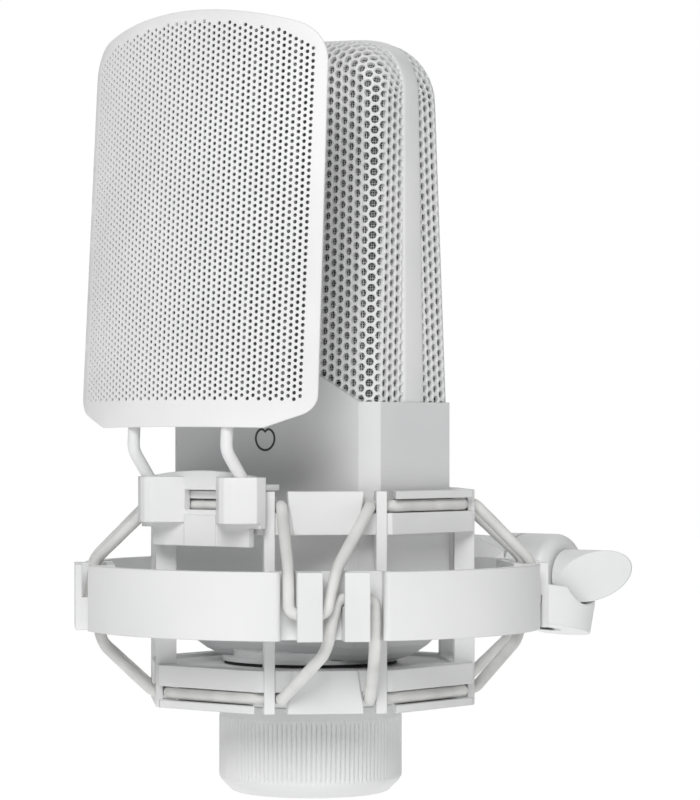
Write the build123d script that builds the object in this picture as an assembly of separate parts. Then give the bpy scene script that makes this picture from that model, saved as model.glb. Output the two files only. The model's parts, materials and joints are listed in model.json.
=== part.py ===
"""Studio condenser microphone hung on elastic cords in a shock mount, with a clip-on pop filter.

Working frame: millimetres, +Z up along the microphone's axis, Z = 0 at the underside of the
cradle, and the microphone's front towards -Y. On export everything is moved so that the origin
is the centre of the mouth of the stand thread.
"""

from build123d import *
from math import cos, radians, sin, sqrt
import os

# ---------------------------------------------------------------- driving dimensions (mm)
BODY_WIDTH = 64.8  # microphone body, along X
BODY_DEPTH = 34.0  # microphone body, along Y
BODY_CHAMFER = 3.7  # flats on the four upright corners
BODY_WALL = 1.8
CAP_BOTTOM = 10.1  # underside of the microphone's base cap
CAP_JOINT = 25.0  # seam between base cap and sleeve
RIM_CORNER = 72.5  # height of the sleeve's rim at the sides
RIM_MIDDLE = 78.7  # height of the sleeve's rim in the middle of front and back
RIM_FLAT = 17.0  # half length of the raised part of the rim
BOWL_REACH_X, BOWL_REACH_Y = 14.0, 10.0  # how far the base cap's round edge comes in
FLANGE_RADIUS, STEP_RADIUS = 21.4, 18.8  # stepped round foot of the base cap
BOWL_STEPS = 8
CAP_WALL = 2.2
SOCKET_RADIUS = 9.6  # hole in the base cap for the cable socket
BORE_RADIUS = 8.1  # inside of the cable socket
INSERT_FACE = -4.5
PIN_RING, PIN_RADIUS = 4.05, 1.2
RAIL_X = 26.0
RAIL_FOOT, BOARD_FOOT = 20.0, 21.0
PLATFORM_LOW, PLATFORM_HIGH = 66.0, 69.0
BOARD_Y = 5.0
BOARD_HALF = 0.8
CAPSULE_Z = 116.0
CAPSULE_RADIUS = 17.0
CAPSULE_RIM = 2.4

GRILLE_TOP = 159.7
GRILLE_WALL = 0.9
GRILLE_INSET = 0.6
GRILLE_LOW, GRILLE_HIGH = RIM_CORNER - 3, GRILLE_TOP + 1  # heights between which the grille tapers
GRILLE_TAPER_X, GRILLE_TAPER_Y = 0.9, 4.2  # how far each side leans in, low to high
SHOULDER = 13.0  # corners of the grille, seen from the front
TOP_ROUND = 9.0  # rounding from the front of the grille over to its top
CROWN = 2.2  # how far the middle of the grille's top stands above its ends
FRONT_BOW = 0.7
FRAME_PROUD, FRAME_DEEP = 0.35, 1.4  # the grille frame stands out and reaches in by these
STRIP_BOTTOM, STRIP_TOP = 8.7, 6.1  # width of the grille frame, low and high

CRADLE_HEIGHT = 51.6
CRADLE_APOTHEM = 38.3  # from the axis to the flats of the octagonal cradle
CRADLE_OPENING = 33.2
RING_TALL = 10.1  # height of the cradle's upper and of its lower ring
LIP = 1.85  # thickness of the lip above (below) the cord channel
CHANNEL = 3.2  # height of the cord channel
BLOCK_HALF = 8.8  # half width of the block in the middle of a diagonal face
POST_IN, POST_OUT = 11.8, 14.3  # a thin post lies between these, beside the block

CORD_DIAMETER = 2.8
CORD_HEIGHT = CRADLE_HEIGHT - LIP - CHANNEL / 2  # centre of the upper cord in its channel

HOOP_RADIUS = 56.0  # outer ring of the shock mount
HOOP_WALL = 2.7
HOOP_TALL = 15.7
POCKET_HALF = 11.8  # half width of the recess at each diagonal
HOOK_IN, HOOK_OUT = 2.5, 8.3  # a hook block lies between these
HOOK_FACE = 57.3  # radius of the outer face of the hook blocks
HOOK_PLATE = 1.6  # thickness of a hook block's outer plate
WALL_IN, WALL_OUT = 47.9, 49.8  # back wall of a recess

PIVOT_Y = 99.1  # swivel axis behind the microphone
PIVOT_Z = 27.2
SWIVEL_REST = 11.0  # degrees the stand socket leans forward at rest
TONGUE_LEFT, TONGUE_RIGHT = 6.5, 6.0  # the adapter's tongue reaches this far to each side
TONGUE_RADIUS = 11.0
TONGUE_ROUND = 3.0
SOCKET_LOW = -14.4  # mouth of the stand socket below the pivot
BARREL_RADIUS = 13.4
INSERT_RADIUS = 5.6
BOLT_RADIUS = 2.5
KNOB_RADIUS = 7.0
KNOB_MIDDLE = 15.6  # where the knob's oblique end crosses its axis
STEM_RADIUS = 15.5  # threaded stem under the base cap
STEM_BOTTOM = -17.0
THREAD_RADIUS = 4.0  # minor radius of the 3/8 inch stand thread

NUT_RADIUS = 22.25
NUT_TALL = 21.8
NUT_CHAMFER = 3.4
FLOOR_TOP = 9.3  # upper side of the cradle's floor

PANEL_RADIUS = 79.0  # curvature of the pop filter
PANEL_HALF = 36.8  # half width of the pop filter
PANEL_TALL = 97.0
PANEL_FRONT = 51.2  # from the microphone's axis to the middle of the panel's lower edge
PANEL_BOTTOM = 66.6
PANEL_SHEET = 0.9
PANEL_LEAN = 3.5  # degrees the panel's top leans towards the microphone
WIRE_RADIUS = 1.45
WIRE_X = 14.5

CLIP_HALF = 18.6  # half width of the pop filter's clip
CLIP_LOW, CLIP_HIGH = 38.7, 54.9
CLIP_PLATE = 1.9
WINDOW_HALF = 4.9  # half width of the clip's window
LOW_HALF = 15.0  # half width of the clip's lower edge
CLIP_FACE = CRADLE_APOTHEM + 0.15

GAP = 0.05  # clearance between pieces that touch
RUNNING = 0.05  # radial clearance of a shaft in its hole
MIDDLE = CRADLE_HEIGHT / 2
HOOP_LOW = MIDDLE - HOOP_TALL / 2
HOOP_HIGH = MIDDLE + HOOP_TALL / 2
DIAGONALS = (-45, 45, 135, -135)
ARM_LEFT, ARM_RIGHT = -TONGUE_LEFT - 7.7, -TONGUE_LEFT - 0.7
KNOB_LEFT = TONGUE_RIGHT + 0.75
ARM_SCREWS = [(x, MIDDLE + z) for x in (-9.5, 9.5) for z in (-3.0, 3.0)]

parts = {}


# ---------------------------------------------------------------- helpers
def block(x0, x1, y0, y1, z0, z1):
    """Box between two corners."""
    size = Box(x1 - x0, y1 - y0, z1 - z0)
    return Pos((x0 + x1) / 2, (y0 + y1) / 2, (z0 + z1) / 2) * size


def disc(radius, z0, z1, x=0.0, y=0.0):
    """Upright cylinder."""
    return Pos(x, y, (z0 + z1) / 2) * Cylinder(radius, z1 - z0)


def tube(outer, inner, z0, z1, x=0.0, y=0.0):
    """Upright tube."""
    return disc(outer, z0, z1, x, y) - disc(inner, z0 - 1, z1 + 1, x, y)


def rod_x(radius, x0, x1, y, z):
    """Cylinder lying along X."""
    return Pos((x0 + x1) / 2, y, z) * Rot(0, 90, 0) * Cylinder(radius, x1 - x0)


def rod_y(radius, y0, y1, x, z):
    """Cylinder lying along Y."""
    return Pos(x, (y0 + y1) / 2, z) * Rot(90, 0, 0) * Cylinder(radius, y1 - y0)


def hexagon_x(radius, x0, x1, y, z):
    """Hexagonal bar lying along X."""
    return Pos(x0, y, z) * Rot(0, 90, 0) * extrude(RegularPolygon(radius, 6), x1 - x0)


def polygon(*points):
    """Flat face with straight sides."""
    return make_face(Polyline(*points, close=True))


def octagon(apothem, z0, z1):
    """Upright octagonal prism with flats on the X and Y axes."""
    outline = RegularPolygon(apothem / cos(radians(22.5)), 8, rotation=22.5)
    return Pos(0, 0, z0) * extrude(outline, z1 - z0)


def edge_between(start, end, bow):
    """Straight edge, or an arc whose middle stands out along Y by bow."""
    if bow:
        return ThreePointArc(start, (0, start[1] + bow), end)
    return Line(start, end)


def chamfered(width, depth, chamfer_size, bow=0.0):
    """Rectangle with cut corners and front and back bowed out by bow."""
    x, y, c = width / 2, depth / 2, chamfer_size
    front = edge_between((x - c, -y), (-x + c, -y), -bow)
    back = edge_between((-x + c, y), (x - c, y), bow)
    left = Polyline((-x + c, -y), (-x, -y + c), (-x, y - c), (-x + c, y))
    right = Polyline((x - c, y), (x, y - c), (x, -y + c), (x - c, -y))
    return make_face([front, left, back, right])


def around(shape, angles=DIAGONALS):
    """Copies of a shape turned about the microphone's axis."""
    return [Rot(0, 0, angle) * shape for angle in angles]


def both_sides(shape):
    """A shape and its mirror image across the middle plane."""
    return [shape, mirror(shape, Plane.YZ)]


def swept(points, radii, radius):
    """Round bar along straight runs joined by arcs."""
    path = FilletPolyline(*points, radius=radii)
    section = Plane(origin=path @ 0, z_dir=path % 0) * Circle(radius)
    return sweep(section, path=path)


# ---------------------------------------------------------------- microphone body
def body_prism(inset, z0, z1):
    """The body's outline, set in all round, between two heights."""
    c = BODY_CHAMFER - inset * (2 - sqrt(2))
    outline = chamfered(BODY_WIDTH - 2 * inset, BODY_DEPTH - 2 * inset, c)
    return Pos(0, 0, z0) * extrude(outline, z1 - z0)


def above_rim(lift):
    """Everything above the sleeve's rim, whose outline steps up in the middle."""
    x = BODY_WIDTH / 2 - BODY_CHAMFER
    low, high = RIM_CORNER + lift, RIM_MIDDLE + lift
    rim = [(-60, low), (-x, low), (-RIM_FLAT, high), (RIM_FLAT, high), (x, low), (60, low)]
    return extrude(Plane.XZ * polygon(*rim, (60, 200), (-60, 200)), 60, both=True)


def cap_bowl(inset):
    """Bowl that closes the body from below: its outline shrinks along a quarter of an ellipse."""
    depth = CAP_JOINT - CAP_BOTTOM - inset
    sections = []
    for i in range(BOWL_STEPS + 1):
        turn = radians(90 * i / BOWL_STEPS)
        shrink_x = inset + (BOWL_REACH_X - inset) * (1 - cos(turn))
        shrink_y = inset + (BOWL_REACH_Y - inset) * (1 - cos(turn))
        outline = chamfered(BODY_WIDTH - 2 * shrink_x, BODY_DEPTH - 2 * shrink_y, BODY_CHAMFER - 0.2 * inset)
        sections.append(Pos(0, 0, CAP_JOINT - depth * sin(turn)) * outline)
    return loft(sections, ruled=True)


def flat_screw(x, y, z, length):
    """Pan head screw pointing down."""
    return disc(1.9, z, z + 1.2, x, y) + disc(1.0, z - length, z, x, y)


def microphone_body():
    """Sleeve and base cap."""
    sleeve = body_prism(0, CAP_JOINT, RIM_MIDDLE + 2)
    sleeve -= body_prism(BODY_WALL, CAP_JOINT - 1, RIM_MIDDLE + 3)
    parts["body_sleeve"] = sleeve - above_rim(0)
    cap = cap_bowl(0) - cap_bowl(CAP_WALL)
    cap += disc(STEM_RADIUS, STEM_BOTTOM, CAP_BOTTOM + CAP_WALL)
    cap += disc(FLANGE_RADIUS, CAP_BOTTOM, CAP_BOTTOM + 0.85)
    cap += disc(STEP_RADIUS, CAP_BOTTOM, CAP_BOTTOM + 2.5)
    parts["base_cap"] = cap - disc(SOCKET_RADIUS, STEM_BOTTOM - 1, 20)


def cable_socket():
    """Three-pin inlet inside the stem: a lined socket, an insulator and the pins."""
    parts["connector_shell"] = tube(SOCKET_RADIUS - GAP, BORE_RADIUS, STEM_BOTTOM + 0.6, 13.5)
    insulator = disc(BORE_RADIUS - GAP, INSERT_FACE, 12.0)
    pins = []
    for angle in (90, 210, 330):
        x, y = PIN_RING * cos(radians(angle)), PIN_RING * sin(radians(angle))
        insulator -= disc(PIN_RADIUS + RUNNING, INSERT_FACE - 1, 13, x, y)
        pins.append(disc(PIN_RADIUS, INSERT_FACE - 9.5, 15.0, x, y))
    parts["connector_insert"] = insulator
    parts["connector_pins"] = Compound(pins)


def chassis():
    """Two rails, the platform screwed to them, the board and what it carries."""
    rail_top = PLATFORM_LOW - GAP
    rail = block(RAIL_X - 1.5, RAIL_X + 1.5, -8, 8, RAIL_FOOT, rail_top)
    rail -= disc(1.0 + RUNNING, rail_top - 7, rail_top + 1, RAIL_X, 0)
    parts["chassis_rails"] = Compound(both_sides(rail))
    platform = body_prism(BODY_WALL + 0.2, PLATFORM_LOW, PLATFORM_HIGH)
    platform -= disc(4.0, PLATFORM_LOW - 1, PLATFORM_HIGH + 1)
    for x in (-RAIL_X, RAIL_X):
        platform -= disc(1.0 + RUNNING, PLATFORM_LOW - 1, PLATFORM_HIGH + 1, x, 0)
    parts["capsule_platform"] = platform
    parts["platform_screws"] = Compound(both_sides(flat_screw(RAIL_X, 0, PLATFORM_HIGH + GAP, 8)))
    board_x = RAIL_X - 1.6
    board_top = PLATFORM_LOW - 4
    parts["circuit_board"] = block(
        -board_x, board_x, BOARD_Y - BOARD_HALF, BOARD_Y + BOARD_HALF, BOARD_FOOT, board_top
    )
    face = BOARD_Y - BOARD_HALF - GAP
    capacitors = [rod_y(3.1, face - 8.0, face, -15, z) for z in (26.0, 35.0, 44.0)]
    film_capacitors = [block(x - 4, x + 4, face - 5.5, face, 50, 56) for x in (-4, 8)]
    chips = [block(x - 2.5, x + 2.5, face - 1.7, face, 26, 30) for x in (0, 10)]
    parts["board_components"] = Compound(capacitors + film_capacitors + chips)
    transformer = block(3, 19, face - 12.5, face, 33, 47) + block(6, 16, face - 14.5, face, 35, 45)
    parts["output_transformer"] = transformer


def capsule():
    """Ring with a backplate between two film diaphragms, on a saddle."""
    saddle = block(-9, 9, -5, 5, PLATFORM_HIGH + GAP, PLATFORM_HIGH + 4)
    for leg in both_sides(block(6, 9, -4, 4, PLATFORM_HIGH + 2, CAPSULE_Z - 12)):
        saddle += leg
    parts["capsule_saddle"] = saddle - rod_y(CAPSULE_RADIUS + GAP, -10, 10, 0, CAPSULE_Z)
    inner = CAPSULE_RADIUS - CAPSULE_RIM
    parts["capsule_ring"] = rod_y(CAPSULE_RADIUS, -4.6, 4.6, 0, CAPSULE_Z) - rod_y(inner, -9, 9, 0, CAPSULE_Z)
    parts["capsule_backplate"] = rod_y(inner - GAP, -3.2, 3.2, 0, CAPSULE_Z)
    for name, y in (("front_diaphragm", -3.5), ("rear_diaphragm", 3.5)):
        parts[name] = rod_y(inner - GAP, y - 0.1, y + 0.1, 0, CAPSULE_Z)


# ---------------------------------------------------------------- grille
def grille_form(inset):
    """Tapered dome: cut-corner outline drawn low and high, then rounded over from front and side."""
    w = BODY_WIDTH - 2 * (GRILLE_INSET + inset)
    d = BODY_DEPTH - 2 * (GRILLE_INSET + inset)
    c = BODY_CHAMFER - inset * (2 - sqrt(2))
    low = Pos(0, 0, GRILLE_LOW) * chamfered(w, d, c, FRONT_BOW)
    high = Pos(0, 0, GRILLE_HIGH) * chamfered(w - 2 * GRILLE_TAPER_X, d - 2 * GRILLE_TAPER_Y, c, FRONT_BOW)
    form = loft([low, high])
    top = GRILLE_TOP - inset
    foot = GRILLE_LOW - 2
    x = w / 2
    slope = GRILLE_TAPER_X / (GRILLE_HIGH - GRILLE_LOW)
    x_top = x - slope * (top - CROWN - foot)
    outline = make_face(
        [
            Line((-x, foot), (x, foot)),
            Line((x, foot), (x_top, top - CROWN)),
            ThreePointArc((x_top, top - CROWN), (0, top), (-x_top, top - CROWN)),
            Line((-x_top, top - CROWN), (-x, foot)),
        ]
    )
    outline = fillet(outline.vertices().sort_by(Axis.Y)[-2:], SHOULDER - inset)
    form &= extrude(Plane.XZ * outline, 40, both=True)
    y = d / 2 + 2
    side = polygon((-y, foot), (y, foot), (y - 6.2, top), (-y + 6.2, top))
    side = fillet(side.vertices().group_by(Axis.Y)[-1], TOP_ROUND - inset)
    return form & extrude(Plane.YZ * side, 60, both=True)


def strip(extra):
    """Slab that the grille frame fills, wide at the foot and narrow at the top."""
    low, high = STRIP_BOTTOM / 2 + extra, STRIP_TOP / 2 + extra
    foot, top = RIM_CORNER - 4, GRILLE_TOP + 3
    return extrude(Plane.YZ * polygon((-low, foot), (low, foot), (high, top), (-high, top)), 60, both=True)


def grille():
    """Two mesh halves with gauze behind, the frame between them and the collar that centres them."""
    front_half = block(-60, 60, -60, 0, 40, 200)
    rear_half = block(-60, 60, 0, 60, 40, 200)
    mesh = ((grille_form(0) - grille_form(GRILLE_WALL)) & above_rim(0.35)) - strip(GAP)
    gauze = grille_form(GRILLE_WALL + 0.15) - grille_form(GRILLE_WALL + 0.45)
    gauze = (gauze & above_rim(0.35)) - strip(0.4)
    for side, half in (("front", front_half), ("rear", rear_half)):
        parts[side + "_grille"] = mesh & half
        parts[side + "_gauze"] = gauze & half
    band = grille_form(-FRAME_PROUD) - grille_form(FRAME_DEEP)
    parts["grille_frame"] = (band & strip(0)) & above_rim(GAP)
    collar = body_prism(2.6, PLATFORM_HIGH + GAP, RIM_CORNER + 3.0) - body_prism(3.4, 60, 90)
    parts["grille_collar"] = collar - above_rim(2.0)


# ---------------------------------------------------------------- cradle
def cradle_block():
    """Block in the middle of a diagonal face, with a slanted foot on each side."""
    top, low = CRADLE_HEIGHT, CRADLE_HEIGHT - RING_TALL
    made = block(CRADLE_OPENING, CRADLE_APOTHEM, -BLOCK_HALF, BLOCK_HALF, low, top)
    for sy in (-1, 1):
        x, y = CRADLE_APOTHEM + 0.01, sy * (BLOCK_HALF + 0.01)
        foot = Pos(0, 0, low - 0.01) * polygon((x, y), (x, y - sy * 1.5), (x - 2.4, y))
        made -= loft([foot, Vertex(x, y, top - 0.5)])
    return made


def cradle_post(sy, notch_half):
    """Thin upright post beside the block, open at the cord's channel."""
    y0, y1 = sorted((sy * POST_IN, sy * POST_OUT))
    post = block(CRADLE_OPENING + 0.2, CRADLE_APOTHEM, y0, y1, MIDDLE, CRADLE_HEIGHT)
    band_top = CRADLE_HEIGHT - LIP - CHANNEL
    return post - block(30, CRADLE_APOTHEM - 1.7, -notch_half, notch_half, band_top, CRADLE_HEIGHT - LIP)


def half_cradle():
    """The upper ring of the cradle with the blocks of its diagonal faces, and upper half posts."""
    top = CRADLE_HEIGHT
    band_top = top - LIP - CHANNEL
    made = octagon(CRADLE_APOTHEM - 0.6, top - RING_TALL, band_top)
    made += octagon(CRADLE_APOTHEM - CHANNEL - 0.1, band_top, top - LIP)
    made += octagon(CRADLE_APOTHEM, top - LIP, top)
    made -= octagon(CRADLE_OPENING, top - RING_TALL - 1, top + 1)
    notch_half = POST_OUT + 2.2
    for notch in around(block(30, 45, -notch_half, notch_half, band_top, top + 1)):
        made -= notch
    for solid in (cradle_block(), cradle_post(-1, notch_half), cradle_post(1, notch_half)):
        for copy in around(solid):
            made += copy
    return made


def cradle():
    """Octagonal cage: two rings joined by posts, with a ribbed floor under the microphone."""
    upper = half_cradle()
    made = upper + mirror(upper, Plane.XY.offset(MIDDLE))
    made += octagon(CRADLE_OPENING + 0.5, FLOOR_TOP - 3, FLOOR_TOP)
    made += disc(22.0, 0, FLOOR_TOP - 1)
    reach = CRADLE_OPENING + 0.3
    for rib in around(block(-reach, reach, -1, 1, LIP + 0.5, FLOOR_TOP - 1), range(0, 180, 45)):
        made += rib
    parts["cradle"] = made - disc(STEM_RADIUS + 0.3, -1, FLOOR_TOP + 1)
    parts["seat_washer"] = tube(FLANGE_RADIUS - 0.4, STEM_RADIUS + 0.5, FLOOR_TOP + GAP, CAP_BOTTOM - GAP)
    nut = disc(NUT_RADIUS, -NUT_TALL, -GAP)
    nut = chamfer(nut.edges().sort_by(Axis.Z)[0], NUT_CHAMFER)
    parts["lock_nut"] = nut - disc(STEM_RADIUS + RUNNING, -NUT_TALL - 1, 1)


# ---------------------------------------------------------------- outer ring
def ring_plan():
    """Plan of the outer ring, stepped in at each diagonal."""
    plan = Circle(HOOP_RADIUS) - Circle(HOOP_RADIUS - HOOP_WALL)
    housing = Pos((WALL_IN + 60) / 2, 0) * Rectangle(60 - WALL_IN, 2 * (POCKET_HALF + 1.9))
    for copy in around(housing):
        plan += copy & Circle(HOOP_RADIUS)
    recess = Pos((WALL_OUT + 64) / 2, 0) * Rectangle(64 - WALL_OUT, 2 * POCKET_HALF)
    for copy in around(recess):
        plan -= copy
    lips = [v for v in plan.vertices() if abs(sqrt(v.X**2 + v.Y**2) - HOOP_RADIUS) < 0.01]
    return fillet(lips, 1.2)


def hook(side, web_low, web_high):
    """Hook that a cord goes round: a plate in the ring's face on a web from the recess's back."""
    y0, y1 = sorted((side * HOOK_IN, side * HOOK_OUT))
    plate_in = HOOK_FACE - HOOK_PLATE
    plate = block(plate_in, HOOK_FACE, y0, y1, HOOP_LOW, HOOP_HIGH)
    return plate + block(WALL_OUT - 0.5, plate_in, y0, y1, web_low, web_high)


def outer_ring():
    """Outer ring of the shock mount with two hooks at each diagonal."""
    made = Pos(0, 0, HOOP_LOW) * extrude(ring_plan(), HOOP_TALL)
    for solid in (hook(-1, MIDDLE, HOOP_HIGH), hook(1, HOOP_LOW, MIDDLE)):
        for copy in around(solid):
            made += copy
    for x, z in ARM_SCREWS:
        made -= rod_y(1.22, 40, HOOP_RADIUS + 4.5, x, z)
        made -= rod_y(2.3, 40, HOOP_RADIUS - HOOP_WALL - 0.85, x, z)
    parts["outer_ring"] = made


# ---------------------------------------------------------------- elastic cords
def elastic(reach, over, crest):
    """One endless cord: along the channel, out through the slots and round the four hooks.

    reach is how far out it goes round the hooks, over and crest place its bends above them.
    """
    run = (CRADLE_APOTHEM - 1.65) * sqrt(0.5)
    inside = CRADLE_APOTHEM - 3.2
    corner = sqrt(2) * (CRADLE_APOTHEM - 1.65) - inside
    slot = (BLOCK_HALF + POST_IN) / 2
    out = CRADLE_APOTHEM + 0.6
    h = CORD_HEIGHT
    under = MIDDLE - CORD_DIAMETER / 2 - 0.25
    route = [(run, -run, h), (inside, -corner, h), (inside, -slot, h), (out, -slot, h)]
    route += [(over, -9.95, crest), (reach, -9.95, under), (reach, -1.35, under), (over, 1.2, crest)]
    route += [(out, slot, h), (inside, slot, h), (inside, corner, h), (run, run, h)]
    radii = [3.0, 1.6, 3.0, 7.0, 2.0, 2.0, 7.0, 3.0, 1.6, 3.0]
    return swept(route, radii, CORD_DIAMETER / 2)


def elastics():
    """The upper cord, and the lower one upside down; they pass each other between the hooks."""
    parts["upper_elastic"] = Compound(around(elastic(54.0, 52.5, 34.4)))
    turned = Rot(180, 0, 0) * Pos(0, 0, -MIDDLE) * elastic(51.52, 51.32, 36.4)
    parts["lower_elastic"] = Compound(around(Pos(0, 0, MIDDLE) * turned))


# ---------------------------------------------------------------- swivel
def swivel_arm():
    """Arm behind the ring with a round lug at its end, its four screws, the bolt and the washers."""
    left, right = ARM_LEFT, ARM_RIGHT
    ring_in = HOOP_RADIUS - 0.6
    side = polygon(
        (ring_in, HOOP_LOW + 0.4), (70, PIVOT_Z - 8.6), (PIVOT_Y, PIVOT_Z - 8.6),
        (PIVOT_Y, PIVOT_Z + 9.6), (74, 38.6), (66, 38.0), (ring_in, HOOP_HIGH - 0.4),
    )
    plan = polygon(
        (-14.5, HOOP_RADIUS - 3), (-14.5, 60), (left, 74), (left, PIVOT_Y + 12), (right, PIVOT_Y + 12),
        (right, 76), (3.5, 65), (14.5, 60), (14.5, HOOP_RADIUS - 3),
    )
    arm = extrude(Plane.YZ * side, 30, both=True) & extrude(plan, 80, both=True)
    arm += rod_x(TONGUE_RADIUS, left, right, PIVOT_Y, PIVOT_Z)
    arm -= disc(HOOP_RADIUS + GAP, 0, 60)
    arm -= rod_x(BOLT_RADIUS + 0.02, -40, 40, PIVOT_Y, PIVOT_Z)
    arm -= hexagon_x(4.6, left - 0.01, left + 2.61, PIVOT_Y, PIVOT_Z)
    screws = []
    ring_inside = HOOP_RADIUS - HOOP_WALL
    for x, z in ARM_SCREWS:
        shank = rod_y(1.2, ring_inside - 1.0, HOOP_RADIUS + 3.5, x, z)
        screws.append(shank + rod_y(2.1, ring_inside - 2.6, ring_inside - 0.9, x, z))
        arm -= rod_y(1.22, 40, HOOP_RADIUS + 4.5, x, z)
    parts["swivel_arm"] = arm
    parts["arm_screws"] = Compound(screws)
    bolt = rod_x(BOLT_RADIUS, left + 2.6, KNOB_LEFT + 5.0, PIVOT_Y, PIVOT_Z)
    parts["swivel_bolt"] = bolt + hexagon_x(4.5, left + 0.1, left + 2.6, PIVOT_Y, PIVOT_Z)
    washers = []
    for x in (right + 0.1, TONGUE_RIGHT + 0.1):
        ring = rod_x(6.2, x, x + 0.55, PIVOT_Y, PIVOT_Z)
        washers.append(ring - rod_x(BOLT_RADIUS + 0.02, x - 1, x + 2, PIVOT_Y, PIVOT_Z))
    parts["swivel_washers"] = Compound(washers)


def clamp_knob():
    """Round knob cut off obliquely, with the nut pressed into it."""
    end = Plane(origin=(KNOB_MIDDLE, PIVOT_Y, PIVOT_Z), z_dir=(1.0, -0.95, -0.55))
    knob = rod_x(KNOB_RADIUS, KNOB_LEFT, 28.0, PIVOT_Y, PIVOT_Z) - extrude(end * Rectangle(80, 80), 40)
    knob -= rod_x(BOLT_RADIUS + RUNNING, 0, KNOB_LEFT + 5.4, PIVOT_Y, PIVOT_Z)
    parts["clamp_knob"] = knob - hexagon_x(4.45, KNOB_LEFT - 0.1, KNOB_LEFT + 2.9, PIVOT_Y, PIVOT_Z)
    nut = hexagon_x(4.4, KNOB_LEFT + 0.6, KNOB_LEFT + 2.8, PIVOT_Y, PIVOT_Z)
    parts["clamp_nut"] = nut - rod_x(BOLT_RADIUS + RUNNING, 0, 20, PIVOT_Y, PIVOT_Z)


def stand_adapter():
    """Tongue with the stand socket below it, drawn upright at the pivot and then leaned."""
    tongue = rod_x(TONGUE_RADIUS, -TONGUE_LEFT, TONGUE_RIGHT, 0, 0)
    tongue = fillet(tongue.edges().filter_by(GeomType.CIRCLE).sort_by(Axis.X)[-1], TONGUE_ROUND)
    tongue += block(-TONGUE_LEFT, TONGUE_RIGHT - TONGUE_ROUND, -TONGUE_RADIUS, TONGUE_RADIUS, -10, 0)
    barrel = Pos(0, 0, SOCKET_LOW) * extrude(Circle(BARREL_RADIUS), -SOCKET_LOW - 4.0, taper=-3)
    barrel -= block(-30, -TONGUE_LEFT, -30, 30, -30, 10)
    barrel -= rod_x(KNOB_RADIUS + 0.7, TONGUE_RIGHT, 30, 0, 0)
    made = tongue + barrel
    made -= disc(INSERT_RADIUS, SOCKET_LOW - 1, -4.2)
    made -= rod_x(BOLT_RADIUS + RUNNING, -20, 20, 0, 0)
    lean = Pos(0, PIVOT_Y, PIVOT_Z) * Rot(-SWIVEL_REST, 0, 0)
    parts["stand_adapter"] = lean * made
    parts["thread_insert"] = lean * tube(INSERT_RADIUS - 0.02, THREAD_RADIUS, SOCKET_LOW, SOCKET_LOW + 10.0)
    return (lean * Pos(0, 0, SOCKET_LOW)).position


# ---------------------------------------------------------------- pop filter and its clip
def clip_boss():
    """Boss that holds one wire: a ramp on the inside, a slope on the outside, eased between."""
    y = -CLIP_FACE
    plan = polygon(
        (WINDOW_HALF, y), (WINDOW_HALF, y - CLIP_PLATE), (10.6, y - 7.4), (12.4, y - 7.7),
        (14.2, y - 7.1), (CLIP_HALF, y - 3.2), (CLIP_HALF, y),
    )
    apex = [v for v in plan.vertices() if v.Y < y - 7.0]
    plan = fillet(apex, 0.8)
    return Pos(0, 0, 44.2) * extrude(plan, CLIP_HIGH - 44.2)


def filter_clip():
    """Clip hooked over the cradle's front edge, with the two wires of the pop filter."""
    y = -CLIP_FACE
    clip = block(-CLIP_HALF, CLIP_HALF, y - CLIP_PLATE, y, 43.0, CLIP_HIGH)
    clip += block(-LOW_HALF, LOW_HALF, y - CLIP_PLATE, y, CLIP_LOW, 43.1)
    clip += block(-WINDOW_HALF, WINDOW_HALF, y - CLIP_PLATE - 0.3, y, CLIP_LOW, 46.0)
    x = CLIP_HALF - 1.5
    arch = make_face([Line((-x, CLIP_HIGH - 0.1), (x, CLIP_HIGH - 0.1)),
                      ThreePointArc((x, CLIP_HIGH - 0.1), (0, CLIP_HIGH + 1.5), (-x, CLIP_HIGH - 0.1))])
    clip += Pos(0, y, 0) * extrude(Plane.XZ * arch, CLIP_PLATE)
    for boss in both_sides(clip_boss()):
        clip += boss
    clip -= block(-WINDOW_HALF, WINDOW_HALF, -60, y + 1, 47.2, 51.85)
    inner = -CRADLE_OPENING + 1.4
    clip += block(-17, 17, y - 0.5, inner, CRADLE_HEIGHT + 0.15, CRADLE_HEIGHT + 1.6)
    clip += block(-12, 12, -CRADLE_OPENING + 0.15, inner, 44.0, CRADLE_HEIGHT + 0.2)
    route = [(WIRE_X, -41.6, 50.6), (WIRE_X, -41.9, 54.3), (WIRE_X, -47.7, 61.2), (WIRE_X, -46.8, 76.0)]
    wires = both_sides(swept(route, [2.4, 4.6], WIRE_RADIUS))
    for wire in wires:
        clip -= wire
    parts["filter_clip"] = clip
    parts["filter_wires"] = Compound(wires)


def filter_panel():
    """Thin sheet bent round an upright axis, with an arched top and slanted lower corners."""
    shoulder, foot = 91.0, 4.4
    x = PANEL_HALF - 0.7
    outline = make_face(
        [
            Polyline((x, shoulder), (PANEL_HALF, foot), (25, 0), (-25, 0), (-PANEL_HALF, foot), (-x, shoulder)),
            ThreePointArc((-x, shoulder), (0, PANEL_TALL), (x, shoulder)),
        ]
    )
    outline = fillet(outline.vertices().sort_by(Axis.Y)[-2:], 9.5)
    outline = fillet([v for v in outline.vertices() if abs(v.Y - foot) < 0.1], 5.0)
    sheet = Pos(0, PANEL_RADIUS, 50) * (Cylinder(PANEL_RADIUS, 120) - Cylinder(PANEL_RADIUS - PANEL_SHEET, 130))
    sheet &= block(-60, 60, -5, 30, -5, 120)
    sheet &= extrude(Plane.XZ * outline, 40, both=True)
    parts["filter_panel"] = Pos(0, -PANEL_FRONT, PANEL_BOTTOM) * Rot(-PANEL_LEAN, 0, 0) * sheet


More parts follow.
